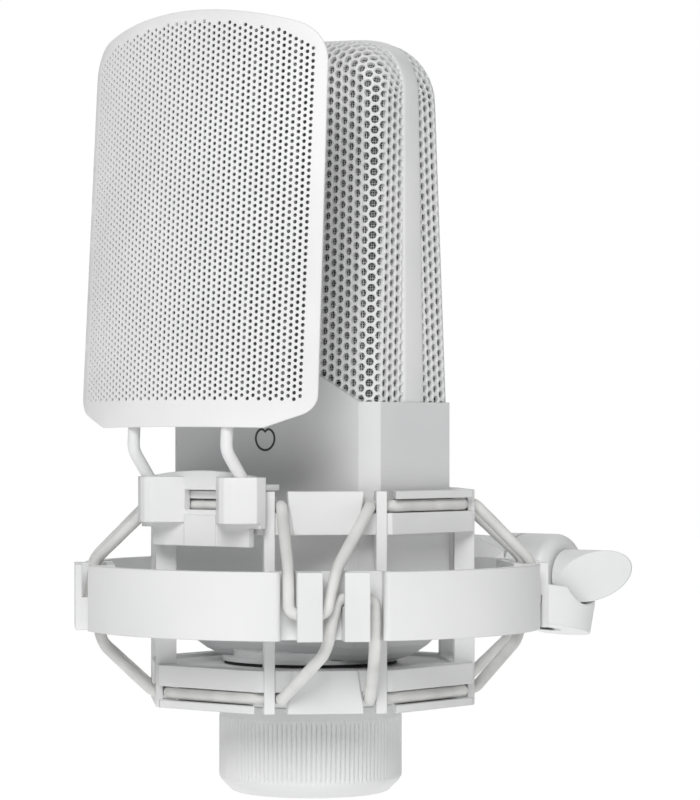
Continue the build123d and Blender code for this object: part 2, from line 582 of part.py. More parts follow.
# ---------------------------------------------------------------- build and export
microphone_body()
cable_socket()
chassis()
capsule()
grille()
cradle()
outer_ring()
elastics()
swivel_arm()
clamp_knob()
mouth = stand_adapter()
filter_clip()
filter_panel()
to_origin = Pos(-mouth.X, -mouth.Y, -mouth.Z)
os.makedirs("parts", exist_ok=True)
for node, shape in parts.items():
    export_step(to_origin * shape, "parts/" + node + ".step")
print("stand thread mouth in the working frame:", mouth)
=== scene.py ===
"""Looks of a studio condenser microphone on elastic cords, with its clip-on pop filter.

Sizes are millimetres in a working frame: the microphone's axis is Z, Z = 0 is the underside of the
cradle, and the front of the microphone faces -Y. at() turns them into the row frame, in metres.
"""

import json
from math import cos, pi, radians, sin, sqrt

import bmesh
import bpy
import numpy as np
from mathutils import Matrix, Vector
from mathutils.geometry import delaunay_2d_cdt


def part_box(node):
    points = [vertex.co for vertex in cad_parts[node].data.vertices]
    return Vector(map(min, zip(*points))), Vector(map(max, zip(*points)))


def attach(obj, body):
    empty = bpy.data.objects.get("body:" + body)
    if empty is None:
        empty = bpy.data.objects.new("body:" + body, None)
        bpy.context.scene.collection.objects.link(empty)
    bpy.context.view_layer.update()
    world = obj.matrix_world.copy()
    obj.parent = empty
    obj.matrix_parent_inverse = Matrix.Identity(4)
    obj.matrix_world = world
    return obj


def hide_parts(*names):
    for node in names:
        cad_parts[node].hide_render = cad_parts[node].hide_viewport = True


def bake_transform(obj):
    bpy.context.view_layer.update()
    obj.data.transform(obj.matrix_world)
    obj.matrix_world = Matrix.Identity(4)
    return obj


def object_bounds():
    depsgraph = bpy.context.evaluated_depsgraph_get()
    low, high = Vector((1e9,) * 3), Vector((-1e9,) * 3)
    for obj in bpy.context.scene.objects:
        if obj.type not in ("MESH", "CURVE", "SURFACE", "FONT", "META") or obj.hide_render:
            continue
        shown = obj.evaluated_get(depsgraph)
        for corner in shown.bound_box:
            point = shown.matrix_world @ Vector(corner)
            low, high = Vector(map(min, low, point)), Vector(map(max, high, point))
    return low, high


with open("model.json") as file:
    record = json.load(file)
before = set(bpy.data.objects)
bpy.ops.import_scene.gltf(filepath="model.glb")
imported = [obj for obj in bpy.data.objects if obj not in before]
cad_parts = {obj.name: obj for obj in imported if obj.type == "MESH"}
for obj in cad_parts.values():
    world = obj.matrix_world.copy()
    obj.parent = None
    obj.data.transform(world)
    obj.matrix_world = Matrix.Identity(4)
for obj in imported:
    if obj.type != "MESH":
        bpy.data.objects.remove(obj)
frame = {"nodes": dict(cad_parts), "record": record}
cad_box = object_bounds()

MM = 0.001
cradle_low, cradle_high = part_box("cradle")
AXIS = Vector(((cradle_low.x + cradle_high.x) / 2, (cradle_low.y + cradle_high.y) / 2, cradle_low.z))

# ---------------------------------------------------------------- driving sizes (mm)
BODY_WIDTH, BODY_DEPTH, BODY_CHAMFER = 64.8, 34.0, 3.7
RIM_CORNER, RIM_MIDDLE, RIM_FLAT = 72.5, 78.7, 17.0
GRILLE_INSET = 0.6
GRILLE_LOW, GRILLE_HIGH = 69.5, 160.7  # heights between which the grille tapers
GRILLE_TAPER_X, GRILLE_TAPER_Y = 0.9, 4.2
GRILLE_TOP, CROWN = 159.7, 2.2
SHOULDER = 13.0  # corner radius of the grille, seen from the front
TOP_ROUND = 9.0  # rounding from the front of the grille over to its top
FRONT_BOW = 0.7
SHEET = 0.9
STRIP_LOW, STRIP_HIGH = 8.7, 6.1  # width of the grille frame at its foot and at its top
STRIP_FOOT, STRIP_TOP = 68.5, GRILLE_TOP + 3
FRAME_PROUD, FRAME_DEEP = 0.35, 1.4

PANEL_RADIUS, PANEL_HALF, PANEL_TALL = 79.0, 36.8, 97.0
PANEL_FRONT, PANEL_BOTTOM, PANEL_SHEET, PANEL_LEAN = 51.2, 66.6, 0.9, 3.5

CRADLE_HEIGHT, CRADLE_APOTHEM = 51.6, 38.3
LIP, CHANNEL = 1.85, 3.2
BLOCK_HALF, POST_IN = 8.8, 11.8
MIDDLE = CRADLE_HEIGHT / 2
CORD_RADIUS = 1.4
DIAGONALS = (-45, 45, 135, -135)

NUT_RADIUS, NUT_TALL, NUT_CHAMFER, STEM_RADIUS = 22.25, 21.8, 3.4, 15.55


def at(x, y, z):
    """A point of the working frame in the row frame."""
    return AXIS + Vector((x, y, z)) * MM


# ---------------------------------------------------------------- materials
PATCH_LOW, PATCH_HIGH = 0.32, 0.68  # noise values at which a patch is fully dark or fully light
ROUGH_SPREAD = 0.06
RELIEF_DEEP = 0.1
BAND_LENGTH = 0.314  # length of one band of the wave texture at scale 1


def new_material(name):
    """Empty node material with its shader and output."""
    made = bpy.data.materials.new(name)
    made.use_nodes = True
    return made, made.node_tree.nodes, made.node_tree.links, made.node_tree.nodes["Principled BSDF"]


def tone(colour):
    """Linear colour from an 8-bit hex value."""
    channels = [int(colour[i : i + 2], 16) / 255 for i in (0, 2, 4)]
    return tuple(c / 12.92 if c <= 0.04045 else ((c + 0.055) / 1.055) ** 2.4 for c in channels) + (1.0,)


def surface(name, dark, light, rough, grain, bump, metallic=0.0, patch=0.04, coat=0.0, edge=0.0):
    """Painted, moulded or bare surface: soft colour patches, fine grain in relief, eased edges.

    grain and edge are in millimetres, patch in metres.
    """
    made, nodes, links, shader = new_material(name)
    place = nodes.new("ShaderNodeTexCoord")
    broad = nodes.new("ShaderNodeTexNoise")
    broad.inputs["Scale"].default_value = 1 / patch
    broad.inputs["Detail"].default_value = 3.0
    ramp = nodes.new("ShaderNodeValToRGB")
    ramp.color_ramp.elements[0].position = PATCH_LOW
    ramp.color_ramp.elements[0].color = tone(dark)
    ramp.color_ramp.elements[1].position = PATCH_HIGH
    ramp.color_ramp.elements[1].color = tone(light)
    fine = nodes.new("ShaderNodeTexNoise")
    fine.inputs["Scale"].default_value = 1 / (grain * MM)
    fine.inputs["Detail"].default_value = 2.0
    matt = nodes.new("ShaderNodeMapRange")
    matt.inputs["To Min"].default_value = rough - ROUGH_SPREAD
    matt.inputs["To Max"].default_value = rough + ROUGH_SPREAD
    relief = nodes.new("ShaderNodeBump")
    relief.inputs["Strength"].default_value = bump
    relief.inputs["Distance"].default_value = RELIEF_DEEP * MM
    links.new(place.outputs["Object"], broad.inputs["Vector"])
    links.new(place.outputs["Object"], fine.inputs["Vector"])
    links.new(broad.outputs["Fac"], ramp.inputs["Fac"])
    links.new(ramp.outputs["Color"], shader.inputs["Base Color"])
    links.new(fine.outputs["Fac"], matt.inputs["Value"])
    links.new(matt.outputs["Result"], shader.inputs["Roughness"])
    links.new(fine.outputs["Fac"], relief.inputs["Height"])
    if edge:
        eased = nodes.new("ShaderNodeBevel")
        eased.samples = 6
        eased.inputs["Radius"].default_value = edge * MM
        links.new(eased.outputs["Normal"], relief.inputs["Normal"])
    links.new(relief.outputs["Normal"], shader.inputs["Normal"])
    shader.inputs["Metallic"].default_value = metallic
    shader.inputs["Coat Weight"].default_value = coat
    return made


def woven(name, dark, light, pitch):
    """Fine cloth: two crossed sets of threads in colour and relief."""
    made, nodes, links, shader = new_material(name)
    place = nodes.new("ShaderNodeTexCoord")
    crossed = []
    for direction in ("X", "Z"):
        wave = nodes.new("ShaderNodeTexWave")
        wave.bands_direction = direction
        wave.inputs["Scale"].default_value = BAND_LENGTH / (pitch * MM)
        links.new(place.outputs["Object"], wave.inputs["Vector"])
        crossed.append(wave.outputs["Fac"])
    both = nodes.new("ShaderNodeMath")
    both.operation = "MULTIPLY"
    links.new(crossed[0], both.inputs[0])
    links.new(crossed[1], both.inputs[1])
    ramp = nodes.new("ShaderNodeValToRGB")
    ramp.color_ramp.elements[0].color = tone(dark)
    ramp.color_ramp.elements[1].color = tone(light)
    relief = nodes.new("ShaderNodeBump")
    relief.inputs["Strength"].default_value = 0.5
    relief.inputs["Distance"].default_value = RELIEF_DEEP * MM
    links.new(both.outputs["Value"], ramp.inputs["Fac"])
    links.new(both.outputs["Value"], relief.inputs["Height"])
    links.new(ramp.outputs["Color"], shader.inputs["Base Color"])
    links.new(relief.outputs["Normal"], shader.inputs["Normal"])
    shader.inputs["Roughness"].default_value = 0.9
    return made


WHITE_PLASTIC = surface("white_plastic", "DFE0E0", "E9E9E9", 0.42, 0.35, 0.10)
WHITE_EASED = surface("white_plastic_eased", "DFE0E0", "E9E9E9", 0.42, 0.35, 0.10, edge=0.45)
BODY_PAINT = surface("body_paint", "D6D7D8", "DFDFDF", 0.36, 0.25, 0.14, edge=0.3, coat=0.1)
GRILLE_PAINT = surface("grille_paint", "DADBDB", "E6E6E6", 0.38, 0.3, 0.10)
FILTER_PAINT = surface("filter_paint", "E6E6E6", "F0F0F0", 0.5, 0.3, 0.08)
GAUZE_WIRE = surface("gauze_wire", "BDBEBF", "D2D2D2", 0.4, 0.2, 0.05)
# painted shade: dark gauze inside the pop filter's sheet, seen only through its holes, darkens them
FILTER_SHADE_GAUZE = woven("filter_shade_gauze", "303132", "8A8B8C", 1.05)
# painted shade: dark sheet behind the grille's gauze stands in for the dim inside of the microphone
SHADE_LINING = woven("painted_shade_lining", "2C2D2E", "4E4F50", 0.5)
CORD_SHEATH = surface("cord_sheath", "D2D2D0", "E6E6E4", 0.72, 0.22, 0.30, patch=0.012)
RUBBER = surface("black_rubber", "1C1C1D", "2A2A2B", 0.75, 0.3, 0.2)
DARK_PLASTIC = surface("black_plastic", "161617", "232324", 0.5, 0.3, 0.12, edge=0.2)
STEEL = surface("steel", "9A9C9E", "BFC1C3", 0.28, 0.15, 0.08, metallic=1.0, edge=0.15)
BRASS = surface("brass", "B08D45", "CFAE66", 0.3, 0.15, 0.08, metallic=1.0, edge=0.15)
GOLD = surface("gold_film", "C9A24A", "E0BE6C", 0.2, 0.4, 0.05, metallic=1.0)
BOARD = surface("board_green", "123D25", "1C5232", 0.4, 0.5, 0.15)
COMPONENT = surface("component_black", "141415", "242425", 0.45, 0.3, 0.1, edge=0.2)
PRINT = surface("dark_print", "3B3C3E", "4A4B4D", 0.6, 0.2, 0.1)

SLOT_MATERIAL = {
    "body_white": BODY_PAINT,
    "gauze_wire": GAUZE_WIRE,
    "mount_white": WHITE_EASED,
    "filter_white": WHITE_EASED,
    "elastic_white": CORD_SHEATH,
    "black_rubber": RUBBER,
    "black_plastic": DARK_PLASTIC,
    "steel": STEEL,
    "brass": BRASS,
    "gold_film": GOLD,
    "board_green": BOARD,
    "component_black": COMPONENT,
}
NODE_SLOT = {entry["node"]: entry["material_slot"] for entry in frame["record"]["subparts"]}


# ---------------------------------------------------------------- mesh helpers
def link_piece(name, mesh, material, body, stands_for=(), sharp=32.0):
    """Makes a mesh a piece of the object."""
    mesh.polygons.foreach_set("use_smooth", np.ones(len(mesh.polygons), bool))
    mesh.set_sharp_from_angle(angle=radians(sharp))
    mesh.materials.clear()
    mesh.materials.append(material)
    made = bpy.data.objects.new(name, mesh)
    bpy.context.scene.collection.objects.link(made)
    if body:
        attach(made, body)
    if stands_for:
        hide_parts(*stands_for)
    return made


def mesh_from(name, points, faces):
    """Mesh with outward normals from points in the working frame."""
    mesh = bpy.data.meshes.new(name)
    placed = np.asarray(points, float) * MM + np.array(AXIS)
    mesh.from_pydata(placed.tolist(), [], faces)
    form = bmesh.new()
    form.from_mesh(mesh)
    bmesh.ops.recalc_face_normals(form, faces=form.faces)
    form.to_mesh(mesh)
    form.free()
    return mesh


def piece(name, points, faces, material, body, stands_for=(), sharp=32.0):
    """Mesh piece from points in the working frame."""
    return link_piece(name, mesh_from(name, points, faces), material, body, stands_for, sharp)


def ring_faces(rows, columns, closed_rows=False):
    """Quads of a grid of points whose columns close into rings."""
    faces = []
    for i in range(rows if closed_rows else rows - 1):
        for j in range(columns):
            k = (j + 1) % columns
            following = (i + 1) % rows
            faces.append((i * columns + j, i * columns + k, following * columns + k, following * columns + j))
    return faces


# ---------------------------------------------------------------- perforated sheet
HOLE_SIDES = 12


def lattice(low, high, spacing, pitch):
    """Staggered hole centres between two corners: columns spacing apart, holes pitch apart in each."""
    columns = np.arange(int(low[0] / spacing) - 1, int(high[0] / spacing) + 2)
    rows = np.arange(int(low[1] / pitch) - 1, int(high[1] / pitch) + 2)
    i, j = np.meshgrid(columns, rows, indexing="ij")
    centres = np.stack([i * spacing, (j + 0.5 * (i % 2)) * pitch], -1).reshape(-1, 2)
    inside = np.all((centres > np.array(low)) & (centres < np.array(high)), axis=1)
    return centres[inside]


def hexagon(spacing, pitch):
    """Corners of the cell round one hole of a staggered lattice."""
    near = (spacing**2 - pitch**2 / 4) / (2 * spacing)
    far = spacing - near
    half = pitch / 2
    return np.array([(far, 0), (near, half), (-near, half), (-far, 0), (-near, -half), (near, -half)])


def open_edges(loops):
    """Edges that only one of the loops of corners has, each in that loop's direction."""
    edges = {}
    for loop in loops:
        for a, b in zip(loop, loop[1:] + loop[:1]):
            if (b, a) in edges:
                del edges[(b, a)]
            else:
                edges[(a, b)] = True
    return list(edges)


def perforation(centres, spacing, pitch, rings):
    """Flat cells with round holes.

    Returns points (u, v, depth), faces, the front layer's border edges, and the number to add to a
    corner of the front layer to get the one behind it. rings are the hole's (radius, depth), the first
    on the front and the last on the back.
    """
    corners = (centres[:, None, :] + hexagon(spacing, pitch)[None]).reshape(-1, 2)
    _, first, cell_corner = np.unique(np.round(corners, 3), axis=0, return_index=True, return_inverse=True)
    cell_corner = cell_corner.reshape(-1, 6)
    flat = corners[first]
    count, cells = len(flat), len(centres)
    back = rings[-1][1]
    layers = [np.column_stack([flat, np.zeros(count)]), np.column_stack([flat, np.full(count, back)])]
    turns = np.arange(HOLE_SIDES) * 2 * pi / HOLE_SIDES
    for radius, depth in rings:
        circle = np.stack([radius * np.cos(turns), radius * np.sin(turns)], -1)
        hole = (centres[:, None, :] + circle[None]).reshape(-1, 2)
        layers.append(np.column_stack([hole, np.full(len(hole), depth)]))
    points = np.concatenate(layers)
    hole_start = 2 * count + (np.arange(len(rings))[:, None] * cells + np.arange(cells)[None]) * HOLE_SIDES
    per = HOLE_SIDES // 6
    half = per // 2
    faces = []
    for layer, start, flipped in ((0, hole_start[0], False), (count, hole_start[-1], True)):
        for c in range(6):
            a, b = cell_corner[:, c] + layer, cell_corner[:, (c + 1) % 6] + layer
            h = [start + (c * per + k) % HOLE_SIDES for k in range(per + 1)]
            fans = [(a, h[k + 1], h[k]) for k in range(half)] + [(a, b, h[half])]
            fans += [(b, h[k + 1], h[k]) for k in range(half, per)]
            for fan in fans:
                faces += np.stack(fan[::-1] if flipped else fan, 1).tolist()
    for r in range(len(rings) - 1):
        for k in range(HOLE_SIDES):
            k2 = (k + 1) % HOLE_SIDES
            wall = (hole_start[r] + k, hole_start[r] + k2, hole_start[r + 1] + k2, hole_start[r + 1] + k)
            faces += np.stack(wall, 1).tolist()
    border = open_edges(cell_corner.tolist())
    return points, faces, border, count


# ---------------------------------------------------------------- grille
SILHOUETTE_HALF = BODY_WIDTH / 2 - GRILLE_INSET
ARCH_RADIUS = ((SILHOUETTE_HALF + 1) ** 2 + CROWN**2) / (2 * CROWN)
ARCH_CENTRE = GRILLE_TOP - ARCH_RADIUS
SHOULDER_INSET = 0.83  # how far the taper has drawn the outline in near the top
SHOULDER_X = SILHOUETTE_HALF - SHOULDER_INSET - SHOULDER
SHOULDER_Z = ARCH_CENTRE + sqrt((ARCH_RADIUS - SHOULDER) ** 2 - SHOULDER_X**2)
FLAT_HALF = SHOULDER_X + SHOULDER - BODY_CHAMFER  # the flat front ends here
ARCH_FALL = 0.6  # the flat stops this much lower, because the crown falls towards its corners
FLAT_TOP = GRILLE_TOP - TOP_ROUND - ARCH_FALL
FLAT_CORNER = 6.0
FLAT_CX, FLAT_CZ = FLAT_HALF - FLAT_CORNER, FLAT_TOP - FLAT_CORNER
CHAMFER_POWER, ROUND_POWER = 1.2, 2.0  # superellipse powers of the edge's section at sides and top
PROFILE_STEPS = 40
TINY = 1e-9


def taper(z, low, high):
    """Value that runs evenly from the foot of the grille to its top."""
    return low + (high - low) * (z - GRILLE_LOW) / (GRILLE_HIGH - GRILLE_LOW)


def rim_height(x):
    """Height of the sleeve's rim, which steps up in the middle."""
    corner = BODY_WIDTH / 2 - BODY_CHAMFER
    share = np.clip((corner - np.abs(x)) / (corner - RIM_FLAT), 0, 1)
    return RIM_CORNER + (RIM_MIDDLE - RIM_CORNER) * share


def strip_half(z):
    """Half width of the grille frame at a height."""
    share = (z - STRIP_FOOT) / (STRIP_TOP - STRIP_FOOT)
    return (STRIP_LOW + (STRIP_HIGH - STRIP_LOW) * share) / 2


def reach_to_outline(nx, nz):
    """Distance from the flat's corner centre to the grille's silhouette in a direction."""
    ex, ez = FLAT_CX - SHOULDER_X, FLAT_CZ - SHOULDER_Z
    along = ex * nx + ez * nz
    by_corner = -along + np.sqrt(along**2 - ex**2 - ez**2 + SHOULDER**2)
    away = FLAT_CZ - ARCH_CENTRE
    lift = FLAT_CX * nx + away * nz
    by_arch = -lift + np.sqrt(lift**2 - FLAT_CX**2 - away**2 + ARCH_RADIUS**2)
    return np.minimum(by_corner, by_arch)


def walk_edge(out, edge, drop, power):
    """Walks a length along the edge's section, which turns over edge and falls by drop, then straight back.

    Returns how far out and how far back the walk gets, and its direction there.
    """
    theta = np.linspace(0, pi / 2, PROFILE_STEPS)[None]
    along_out = edge[:, None] * np.sin(theta) ** power[:, None]
    along_back = drop[:, None] * (1 - np.clip(np.cos(theta), 0, 1) ** power[:, None])
    step = np.hypot(np.diff(along_out), np.diff(along_back))
    length = np.concatenate([np.zeros((len(out), 1)), np.cumsum(step, axis=1)], axis=1)
    index = np.clip((length < out[:, None]).sum(1) - 1, 0, PROFILE_STEPS - 2)
    rows = np.arange(len(out))
    span = np.maximum(step[rows, index], TINY)
    share = np.clip((out - length[rows, index]) / span, 0, 1)
    go_out = (along_out[rows, index + 1] - along_out[rows, index]) / span
    go_back = (along_back[rows, index + 1] - along_back[rows, index]) / span
    past = np.maximum(out - length[:, -1], 0)
    reach = along_out[rows, index] + share * go_out * span
    back = along_back[rows, index] + share * go_back * span + past
    go_out = np.where(out <= 0, 1.0, np.where(past > 0, 0.0, go_out))
    go_back = np.where(out <= 0, 0.0, np.where(past > 0, 1.0, go_back))
    return reach, back, go_out, go_back


def grille_map(u, v, depth):
    """Folds flat coordinates over the grille's form, depth below its outer surface.

    Inside the flat front a point stays in place. Outside it, it runs out along the nearest normal,
    down the chamfer (at the sides) or the round (at the top), and then straight back.
    """
    side = np.abs(u)
    in_corner = (side > FLAT_CX) & (v > FLAT_CZ)
    by_side = (side > FLAT_HALF) & ~in_corner
    by_top = (v > FLAT_TOP) & ~in_corner
    dx, dz = side - FLAT_CX, v - FLAT_CZ
    spoke = np.maximum(np.hypot(dx, dz), TINY)
    nx = np.where(in_corner, dx / spoke, np.where(by_side, 1.0, 0.0))
    nz = np.where(in_corner, dz / spoke, np.where(by_top, 1.0, 0.0))
    beyond = (spoke - FLAT_CORNER, side - FLAT_HALF, v - FLAT_TOP)
    out = np.maximum(np.select((in_corner, by_side, by_top), beyond, 0.0), 0)
    base_x, base_z = side - out * nx, v - out * nz
    crest = ARCH_CENTRE + np.sqrt(ARCH_RADIUS**2 - base_x**2)
    widths = (reach_to_outline(nx, nz) - FLAT_CORNER, crest - FLAT_TOP)
    edge = np.select((in_corner, by_top), widths, BODY_CHAMFER)
    turn = np.arctan2(nz, nx) / (pi / 2)
    blend = turn * turn * (3 - 2 * turn)
    drop = BODY_CHAMFER + (TOP_ROUND - BODY_CHAMFER) * blend
    power = 2 / (CHAMFER_POWER + (ROUND_POWER - CHAMFER_POWER) * blend)
    reach, back, go_out, go_back = walk_edge(out, edge, drop, power)
    reach = reach - depth * go_back
    back = back + depth * go_out
    z = base_z + reach * nz
    narrowing = taper(z, SILHOUETTE_HALF, SILHOUETTE_HALF - GRILLE_TAPER_X) / (SHOULDER_X + SHOULDER)
    x = (base_x + reach * nx) * narrowing
    front = taper(z, BODY_DEPTH / 2 - GRILLE_INSET, BODY_DEPTH / 2 - GRILLE_INSET - GRILLE_TAPER_Y)
    bow = FRONT_BOW * np.clip(1 - (base_x / FLAT_HALF) ** 2, 0, 1)
    return np.column_stack([x * np.sign(u), -front - bow + back, z])


def grille_keep(u, v, under_rim, under_frame):
    """True where the grille is, with a margin hidden under the rim and under the frame."""
    p = grille_map(u, v, np.zeros(len(u)))
    return (p[:, 2] > rim_height(p[:, 0]) - under_rim) & (p[:, 1] < -strip_half(p[:, 2]) + under_frame)


GRILLE_PITCH, GRILLE_SPACING = 2.48, 2.13
HOLE_RADIUS = 0.93
HOLE_LIP = ((0.11, 0.0), (0.03, 0.09), (0.0, 0.24))  # how much wider the hole is, and at what depth
FLAT_LIMIT = ((-46.0, 68.0), (46.0, 172.0))  # corners of the flat coordinates that the grille needs
SHEET_UNDER, WIRE_UNDER, LINING_UNDER = (1.0, 0.9), (0.6, 0.8), (0.3, 0.6)  # hidden under rim, frame


def turned(points, rear):
    """Points turned half round the microphone's axis for the rear half."""
    return points * np.array([-1.0, -1.0, 1.0]) if rear else points


def grille_sheet(name, rear):
    """Perforated sheet of one half of the grille."""
    centres = lattice(*FLAT_LIMIT, GRILLE_SPACING, GRILLE_PITCH)
    centres = centres[grille_keep(centres[:, 0], centres[:, 1], *SHEET_UNDER)]
    rings = [(HOLE_RADIUS + wider, depth) for wider, depth in HOLE_LIP] + [(HOLE_RADIUS, SHEET)]
    flat, faces, border, count = perforation(centres, GRILLE_SPACING, GRILLE_PITCH, rings)
    faces += [(a, b, b + count, a + count) for a, b in border]
    points = turned(grille_map(flat[:, 0], flat[:, 1], flat[:, 2]), rear)
    piece(name + "_mesh", points, faces, GRILLE_PAINT, "microphone", (name,), sharp=50)


WIRE_PITCH, WIRE_RADIUS, WIRE_DEPTH = 0.62, 0.11, 1.1
WIRE_STEP = 1.9
WIRE_CORNERS = (90, 210, 330)  # a wire is three-sided


def gauze_wires(name, node, rear):
    """Fine wire gauze behind the sheet: two crossed sets of wires that follow its form."""
    (u0, v0), (u1, v1) = FLAT_LIMIT
    points, faces = [], []
    for upright in (True, False):
        across = np.arange(u0, u1, WIRE_PITCH) if upright else np.arange(v0, v1, WIRE_PITCH)
        along = np.arange(v0, v1, WIRE_STEP) if upright else np.arange(u0, u1, WIRE_STEP)
        for place in across:
            fixed = np.full(len(along), place)
            u, v = (fixed, along) if upright else (along, fixed)
            keep = grille_keep(u, v, *WIRE_UNDER)
            middle = grille_map(u, v, np.full(len(u), WIRE_DEPTH))
            normal = grille_map(u, v, np.full(len(u), WIRE_DEPTH - 1)) - middle
            direction = np.gradient(middle, axis=0)
            aside = np.cross(direction, normal)
            aside /= np.maximum(np.linalg.norm(aside, axis=1, keepdims=True), TINY)
            ends = np.flatnonzero(np.diff(np.concatenate([[0], keep.astype(int), [0]])))
            for start, stop in zip(ends[::2], ends[1::2]):
                if stop - start < 2:
                    continue
                base = len(points)
                for k in range(start, stop):
                    for turn in WIRE_CORNERS:
                        offset = aside[k] * cos(radians(turn)) + normal[k] * sin(radians(turn))
                        points.append(middle[k] + offset * WIRE_RADIUS)
                spans = ring_faces(stop - start, 3)
                faces += [tuple(base + i for i in span) for span in spans]
                last = base + 3 * (stop - start - 1)
                faces += [(base, base + 2, base + 1), (last, last + 1, last + 2)]
    points = turned(np.array(points), rear)
    piece(name, points, faces, GAUZE_WIRE, "microphone", (node,), sharp=80)


def thin_skin(keep, place, depths):
    """Closed skin over the kept points of a grid, between two depths."""
    number = np.arange(keep.size).reshape(keep.shape)
    count = keep.size
    cell = keep[:-1, :-1] & keep[1:, :-1] & keep[1:, 1:] & keep[:-1, 1:]
    corners = (number[:-1, :-1], number[1:, :-1], number[1:, 1:], number[:-1, 1:])
    loops = np.stack([corner[cell] for corner in corners], 1).tolist()
    faces = []
    for loop in loops:
        faces += [tuple(loop), tuple(k + count for k in loop[::-1])]
    faces += [(a, b, b + count, a + count) for a, b in open_edges(loops)]
    points = np.concatenate([place(np.full(count, depth)) for depth in depths])
    used = sorted({k for face in faces for k in face})
    renumber = {k: i for i, k in enumerate(used)}
    return points[used], [tuple(renumber[k] for k in face) for face in faces]


LINING_STEP = 1.3
LINING_BAND = (1.3, 1.6)  # depths between which the lining lies


def gauze_shade_lining(name, node, rear):
    """Dark cloth-like skin behind the gauze, thin and closed; its dark colour is painted shade for the dim
    inside of the grille.
    """
    (u0, v0), (u1, v1) = FLAT_LIMIT
    u_line, v_line = np.arange(u0, u1, LINING_STEP), np.arange(v0, v1, LINING_STEP)
    u, v = [g.ravel() for g in np.meshgrid(u_line, v_line, indexing="ij")]
    keep = grille_keep(u, v, *LINING_UNDER).reshape(len(u_line), len(v_line))
    points, faces = thin_skin(keep, lambda depth: grille_map(u, v, depth), LINING_BAND)
    piece(name, turned(points, rear), faces, SHADE_LINING, "microphone", (node,))


SIDE_STEP, CREST_STEP, BEND_POINTS = 3.0, 1.5, 20
FRAME_UNDER = 0.3  # the frame starts this much below the rim
EDGE_SHARE = 0.28  # share of the frame's half width that its rounded edge takes
EDGE_LOW, EDGE_HIGH = -0.75, 0.25  # heights between which the edge rounds, against the grille's outline
EDGE_ANGLES = np.linspace(0.25, pi / 2, 5)


def silhouette():
    """The grille's outline from the foot on the right over the top to the left: points and normals."""
    heights = np.arange(RIM_CORNER - FRAME_UNDER, SHOULDER_Z, SIDE_STEP)
    side = [(taper(z, SILHOUETTE_HALF, SILHOUETTE_HALF - GRILLE_TAPER_X), z, 1.0, 0.0) for z in heights]
    join = np.arctan2(SHOULDER_X, SHOULDER_Z - ARCH_CENTRE)
    bend = [
        (SHOULDER_X + SHOULDER * cos(a), SHOULDER_Z + SHOULDER * sin(a), cos(a), sin(a))
        for a in np.linspace(0, pi / 2 - join, BEND_POINTS)
    ]
    crest = [
        (ARCH_RADIUS * sin(a), ARCH_CENTRE + ARCH_RADIUS * cos(a), sin(a), cos(a))
        for a in np.linspace(join, 0, int(join * ARCH_RADIUS / CREST_STEP) + 1)
    ]
    right = side + bend + crest[1:]
    left = [(-x, z, -nx, nz) for x, z, nx, nz in right[-2::-1]]
    return right + left


def frame_section():
    """Half of the grille frame's section as (share of its half width, height) with rounded outer edges."""
    flat, rise = 1 - EDGE_SHARE, EDGE_HIGH - EDGE_LOW
    bend = [(flat + EDGE_SHARE * cos(a), EDGE_LOW + rise * sin(a)) for a in EDGE_ANGLES]
    crown = [(flat * k / 3, EDGE_HIGH + (FRAME_PROUD - EDGE_HIGH) * (1 - (k / 3) ** 2)) for k in (2, 1, 0)]
    return [(1.0, -FRAME_DEEP), (1.0, EDGE_LOW)] + bend + crown


def grille_frame():
    """Smooth band between the two halves of the grille, over the top from side to side."""
    half = frame_section()
    section = half + [(-s, h) for s, h in half[-2::-1]]
    points = []
    for x, z, nx, nz in silhouette():
        wide = strip_half(z)
        points += [(x + nx * h, s * wide, z + nz * h) for s, h in section]
    rows, columns = len(points) // len(section), len(section)
    faces = ring_faces(rows, columns)
    faces.append(tuple(range(columns)))
    faces.append(tuple(range((rows - 1) * columns, rows * columns)))
    piece("grille_band", points, faces, GRILLE_PAINT, "microphone", ("grille_frame",), sharp=40)


for half_name, rear in (("front", False), ("rear", True)):
    grille_sheet(half_name + "_grille", rear)
    gauze_wires(half_name + "_gauze_wires", half_name + "_gauze", rear)
    gauze_shade_lining(half_name + "_gauze_shade_lining", half_name + "_gauze", rear)
grille_frame()


# ---------------------------------------------------------------- pop filter
FILTER_PITCH, FILTER_SPACING, FILTER_HOLE = 1.47, 1.42, 0.46
FILTER_BORDER, FILTER_FOOT = 2.75, 6.4
PANEL_TOP_HALF, PANEL_SHOULDER, PANEL_TOP_ROUND = PANEL_HALF - 0.7, 91.0, 9.5
PANEL_FOOT_HALF, PANEL_FOOT_RISE, PANEL_FOOT_ROUND = 25.0, 4.4, 5.0
CREST_POINTS, CREST_SKIP, CREST_GAP = 61, 6, 0.6  # the top corner's round takes the place of a few points
CORNER_POINTS = 10
OUTLINE_STEP = 1.3
RIM_ROUND, RIM_FACET = 0.28, 0.08
PANEL_REACH = 40.0  # flat coordinates past the panel's sides
GAUZE_BAND = (0.4, 0.5)  # depths in the sheet between which the gauze lies
GAUZE_STEP, GAUZE_MARGIN = 2.0, 1.2


def arc_between(start, middle, end, count):
    """Points of the circle through three points, from start to end."""
    (ax, ay), (bx, by), (cx, cy) = start, middle, end
    d = 2 * (ax * (by - cy) + bx * (cy - ay) + cx * (ay - by))
    a2, b2, c2 = ax**2 + ay**2, bx**2 + by**2, cx**2 + cy**2
    ox = (a2 * (by - cy) + b2 * (cy - ay) + c2 * (ay - by)) / d
    oy = (a2 * (cx - bx) + b2 * (ax - cx) + c2 * (bx - ax)) / d
    radius = sqrt((ax - ox) ** 2 + (ay - oy) ** 2)
    first, last = np.arctan2(ay - oy, ax - ox), np.arctan2(cy - oy, cx - ox)
    return [(ox + radius * cos(t), oy + radius * sin(t)) for t in np.linspace(first, last, count)]


